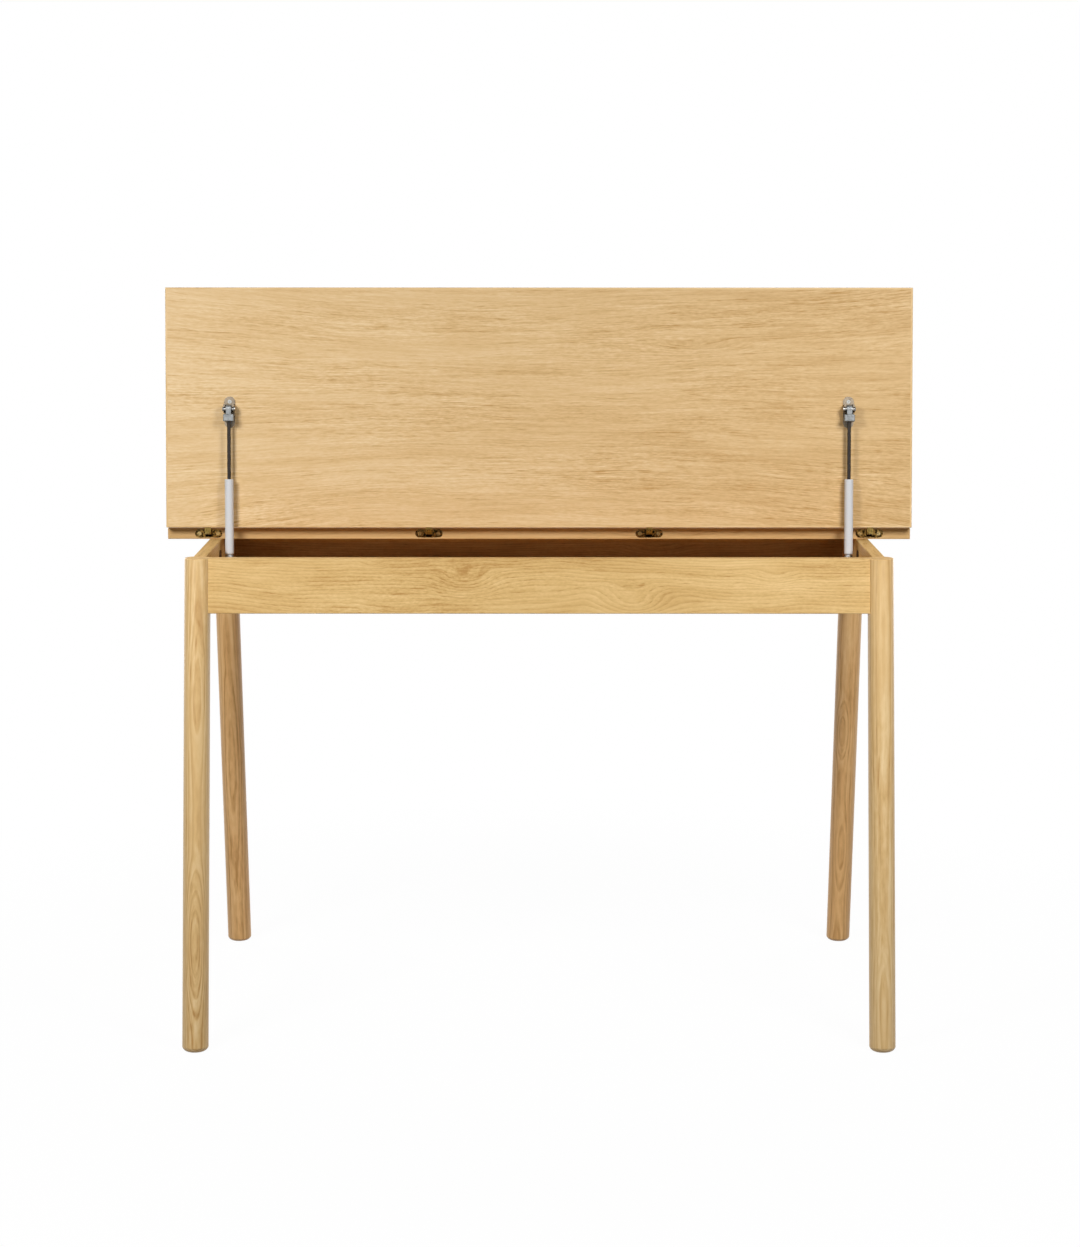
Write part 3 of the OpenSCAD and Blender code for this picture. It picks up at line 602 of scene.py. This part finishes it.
RAILS = {
    "front_rail": {"eyes": FRONT_EYES, "sway": 0.042, "shift": 12.0},
    "rear_rail": {"eyes": REAR_EYES, "sway": 0.03, "shift": 15.0},
    "left_rail": {"turn": FRONT_TO_BACK, "sway": 0.02, "shift": 21.0},
    "right_rail": {"turn": FRONT_TO_BACK, "sway": 0.02, "shift": 24.0},
}

for rail_name, own_cut in RAILS.items():
    rail_cut = {**RAIL_CUT, **own_cut, "middle": middle_of(rail_name)}
    # the rear rail's deeper tones are painted shade for the dark inside of the compartment
    tones = REAR_RAIL_SHADE_TONES if rail_name == "rear_rail" else RAIL_TONES
    dress(oak(rail_name + "_oak", rail_cut, tones, RAIL_ROUGH, RAIL_WEIGHTS), rail_name)
print("rails dressed:", list(RAILS), "with", len(FRONT_EYES), "eyes in front")

# %% [markdown]
# ## How a leg stands in the tree
# Each leg is turned from one square of solid oak and leans with its mate. A material could use the
# desk's upright axis as the grain, but then the rings would run out of the side of a leaning leg.
# So the wood is turned upright and then leaned as the leg is, by an angle that follows from the
# box of the leg: its height, and its depth less the leg's own thickness.

# %% Lean of the legs
low_corner, high_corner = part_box("front_left_leg")
LEG_RISE = high_corner.z - low_corner.z
LEG_THICK = high_corner.x - low_corner.x
LEG_RUN = (high_corner.y - low_corner.y) - LEG_THICK
UPRIGHT = Matrix.Rotation(-pi / 2, 3, "Y")


def leg_turn(name):
    """Wood axes for a leg: the grain runs up the leaning leg."""
    lean = Vector((LEG_RISE, LEG_RUN)).angle(Vector((1, 0)))
    side = -1 if name.startswith("front") else 1
    return tuple((Matrix.Rotation(side * lean, 3, "X") @ UPRIGHT).to_euler("XYZ"))


print("leg runs", round(LEG_RUN, 3), "over", round(LEG_RISE, 3))

# %% [markdown]
# ## Legs
# A leg could be one plain tone, but the photographed ones show long nested arches. The heart of
# the tree lies just behind each leg, a little further to one side on each, so the rings come out
# on its front as arches, and a slight swelling low on the left leg closes them into pointed
# ovals. The rear legs are cut from deeper wood, and all four change a little in tone from top to
# foot. Oil leaves a soft sheen.

# %% Legs
LEG_TONES = ((238, 209, 158), (218, 181, 122), (188, 143, 82))
REAR_LEG_TONES = ((240, 199, 141), (222, 174, 113), (188, 139, 79))
LEG_WEIGHTS = {
    "tone": 0.24, "bands": 0.2, "lines": 0.28, "hair": 0.52, "flecks": 0.38, "rings": 0.23, "pores": 0.28,
}
LEG_ROUGH = 0.38
LEG_GLOSS = 0.5
LEG_CUT = {"sway": 0.009, "gap": 0.003, "cross": 160, "short": 0.65}
HEART_BEHIND = 0.05
HEART_SIDE = 0.012
HEART_STEP = 0.008
LEG_SHIFT = 30.0
LEG_SHIFT_STEP = 3
LEG_DRIFTS = {"front_left_leg": 0.02, "front_right_leg": 0.12}
REAR_LEG_DRIFT = -0.2
LEG_EYES = {
    "front_left_leg": [
        ((-0.21, -0.02, 0), (0.15, 0.022, 0.03), 0.010),
        ((0.16, -0.02, 0), (0.16, 0.022, 0.03), 0.003),
    ],
    "front_right_leg": [((-0.30, -0.02, 0), (0.14, 0.03, 0.03), 0.003)],
    "rear_left_leg": [((-0.05, -0.02, 0), (0.2, 0.03, 0.03), 0.003)],
    "rear_right_leg": [
        ((0.02, -0.02, 0.01), (0.08, 0.03, 0.02), 0.006),
        ((-0.2, -0.02, 0), (0.1, 0.03, 0.02), 0.005),
    ],
}

for step, (leg_name, eyes) in enumerate(LEG_EYES.items()):
    leg_cut = {
        **LEG_CUT, "middle": middle_of(leg_name), "turn": leg_turn(leg_name), "eyes": eyes,
        "heart": (HEART_BEHIND, HEART_SIDE - HEART_STEP * step), "shift": LEG_SHIFT + LEG_SHIFT_STEP * step,
    }
    tones = LEG_TONES if leg_name.startswith("front") else REAR_LEG_TONES
    drift = LEG_DRIFTS.get(leg_name, REAR_LEG_DRIFT)
    dress(oak(leg_name + "_oak", leg_cut, tones, LEG_ROUGH, LEG_WEIGHTS, drift, LEG_GLOSS), leg_name)
print("legs dressed:", list(LEG_EYES))

# %% [markdown]
# ## Wood inside
# The batten and the cleats under the top are bare, and the floor of the compartment is thinly
# lacquered. They are hardly seen and could have one tone, but the same oak, a little deeper and
# with the grain along each, costs only a few lines and holds up when the lid is looked under.

# %% Wood inside
INNER_TONES = ((210, 172, 118), (190, 148, 92), (160, 116, 62))
BARE_ROUGH = 0.6
FLOOR_ROUGH = 0.5
across_cut = {"middle": (0, 0, 0.66), "heart": (0.6, 0.0), "sway": 0.01, "shift": 40.0}
side_cut = {**across_cut, "turn": FRONT_TO_BACK, "shift": 42.0}
floor_cut = {"middle": middle_of("compartment_floor"), "heart": (-0.9, 0.0), "sway": 0.02, "shift": 44.0}
inner_oak = oak("inner_oak", across_cut, INNER_TONES, BARE_ROUGH)
dress(inner_oak, "front_cleat", "rear_cleat", "rear_top_batten")
dress(oak("inner_side_oak", side_cut, INNER_TONES, BARE_ROUGH), "left_cleat", "right_cleat")
dress(oak("floor_veneer", floor_cut, INNER_TONES, FLOOR_ROUGH), "compartment_floor")
print("inside dressed")

# %% [markdown]
# ## How metal changes
# The fittings are small, so their finish has to read at a few pixels. One clean metal for all of
# them would look like a toy. Real fittings are rubbed in one place and tarnished in the next, so
# one noise moves both the colour, from the metal's own tone down to its tarnish, and the
# roughness, and a fine bump breaks up the mirror.

# %% Bare metal
METAL_DETAIL = 4
METAL_NOISE_ROUGH = 0.6
BUMP_FINER = 4
METAL_BUMP = 0.3
METAL_BUMP_DEPTH = 0.00004


def metal(name, tone, rough, spread=0.1, blots=220.0, tarnish=0.6, patch=(0.3, 0.6)):
    """Bare metal whose colour and shine change a little from place to place."""
    material, tree, shader, place = new_material(name)
    patches = noise(tree, place, grey(blots), METAL_DETAIL, METAL_NOISE_ROUGH)
    light = srgb(*tone)
    dark = tuple(tarnish * part for part in light)
    tree.links.new(ramp(tree, patches, list(zip(patch, (dark, light)))), shader.inputs["Base Color"])
    shader.inputs["Metallic"].default_value = 1
    shine = node(tree, "MapRange", {"Value": patches, "To Min": rough + spread, "To Max": rough - spread})
    tree.links.new(shine.outputs[0], shader.inputs["Roughness"])
    fine = noise(tree, place, grey(BUMP_FINER * blots))
    bump = node(tree, "Bump", {"Height": fine, "Strength": METAL_BUMP, "Distance": METAL_BUMP_DEPTH})
    tree.links.new(bump.outputs[0], shader.inputs["Normal"])
    return material


print("metal ready")

# %% [markdown]
# ## Brass, zinc and steel
# The hinge cups are dull brass, nearly black where it has tarnished, with brighter links and
# screws. The strut heads are grey cast zinc, the plates on the lid are browner, and the rods are
# steel with a dark hard skin. The plates low on the side rails get a near-black brown, a painted
# shade for the dark inner corner of the compartment that they sit in. Each metal could be given
# to its pieces by name, but the endings of the names already say what a piece is, so a short
# table pairs endings with metals.

# %% Metals
METALS = {
    "cup_brass": {
        "tone": (152, 118, 62), "rough": 0.26, "spread": 0.12, "blots": 300.0, "tarnish": 0.06,
        "patch": (0.44, 0.58),
    },
    "link_brass": {"tone": (176, 150, 84), "rough": 0.34},
    "screw_brass": {"tone": (206, 178, 122), "rough": 0.24, "spread": 0.08, "blots": 500.0, "tarnish": 0.2},
    "zinc_cast": {"tone": (126, 128, 128), "rough": 0.44},
    "zinc_foot": {"tone": (196, 197, 198), "rough": 0.40},
    "zinc_plate": {"tone": (134, 122, 106), "rough": 0.38},
    # near-black brown for the plates low on the side rails: painted shade of the dark corner they sit in
    "painted_shade_plate": {"tone": (88, 68, 46), "rough": 0.45},
    "zinc_screw": {"tone": (170, 170, 166), "rough": 0.30},
    "pin_steel": {"tone": (150, 148, 144), "rough": 0.30},
    "nitrided_rod": {"tone": (64, 59, 56), "rough": 0.26, "spread": 0.04},
}
METAL_ENDINGS = {
    "cup_brass": ("_cup",),
    "link_brass": ("_links",),
    "screw_brass": ("_cup_screws",),
    "zinc_cast": ("_rod_head",),
    "zinc_foot": ("_strut_foot",),
    "zinc_plate": ("_lid_bracket",),
    "painted_shade_plate": ("_strut_bracket",),
    "zinc_screw": ("_bracket_screws", "batten_screws"),
    "pin_steel": ("_stud", "_head_pin"),
    "nitrided_rod": ("_rod",),
}


def named(*endings):
    """The pieces of the frame whose names end in one of these words."""
    return [name for name in NODES if name.endswith(endings)]


for metal_name, values in METALS.items():
    dress(metal(metal_name, **values), *named(*METAL_ENDINGS[metal_name]))
print("metal pieces:", {name: len(named(*endings)) for name, endings in METAL_ENDINGS.items()})

# %% [markdown]
# ## Paint and rubber
# The barrels are sprayed a pale grey with a faint orange-peel skin under a thin gloss. The seal
# and the piston are matt black rubber. Each could have a helper of its own, but both are a plain
# colour with a fine noise, so one helper does for both.

# %% Paint and rubber
SKIN_BLOTS = 900.0
SKIN_FLECK = 0.04
SKIN_FROM = 0.3
SKIN_TO = 0.7
SKIN_BUMP = 0.15
SKIN_BUMP_DEPTH = 0.00005
COATED_GLOSS = 0.25
COAT_ROUGH = 0.15


def coated(name, tone, rough, coat):
    """Paint or rubber: a plain colour with a faint skin."""
    material, tree, shader, place = new_material(name)
    skin = noise(tree, place, grey(SKIN_BLOTS))
    base = srgb(*tone)
    light = tuple(min(1.0, part * (1 + SKIN_FLECK)) for part in base)
    dark = tuple(part * (1 - SKIN_FLECK) for part in base)
    tree.links.new(ramp(tree, skin, [(SKIN_FROM, dark), (SKIN_TO, light)]), shader.inputs["Base Color"])
    shader.inputs["Roughness"].default_value = rough
    shader.inputs["Specular IOR Level"].default_value = COATED_GLOSS
    shader.inputs["Coat Weight"].default_value = coat
    shader.inputs["Coat Roughness"].default_value = COAT_ROUGH
    bump = node(tree, "Bump", {"Height": skin, "Strength": SKIN_BUMP, "Distance": SKIN_BUMP_DEPTH})
    tree.links.new(bump.outputs[0], shader.inputs["Normal"])
    return material


dress(coated("barrel_paint", tone=(208, 210, 213), rough=0.36, coat=0.05), *named("_barrel"))
dress(coated("seal_rubber", tone=(34, 34, 34), rough=0.7, coat=0.0), *named("_gland", "_piston"))
print("barrels:", named("_barrel"))
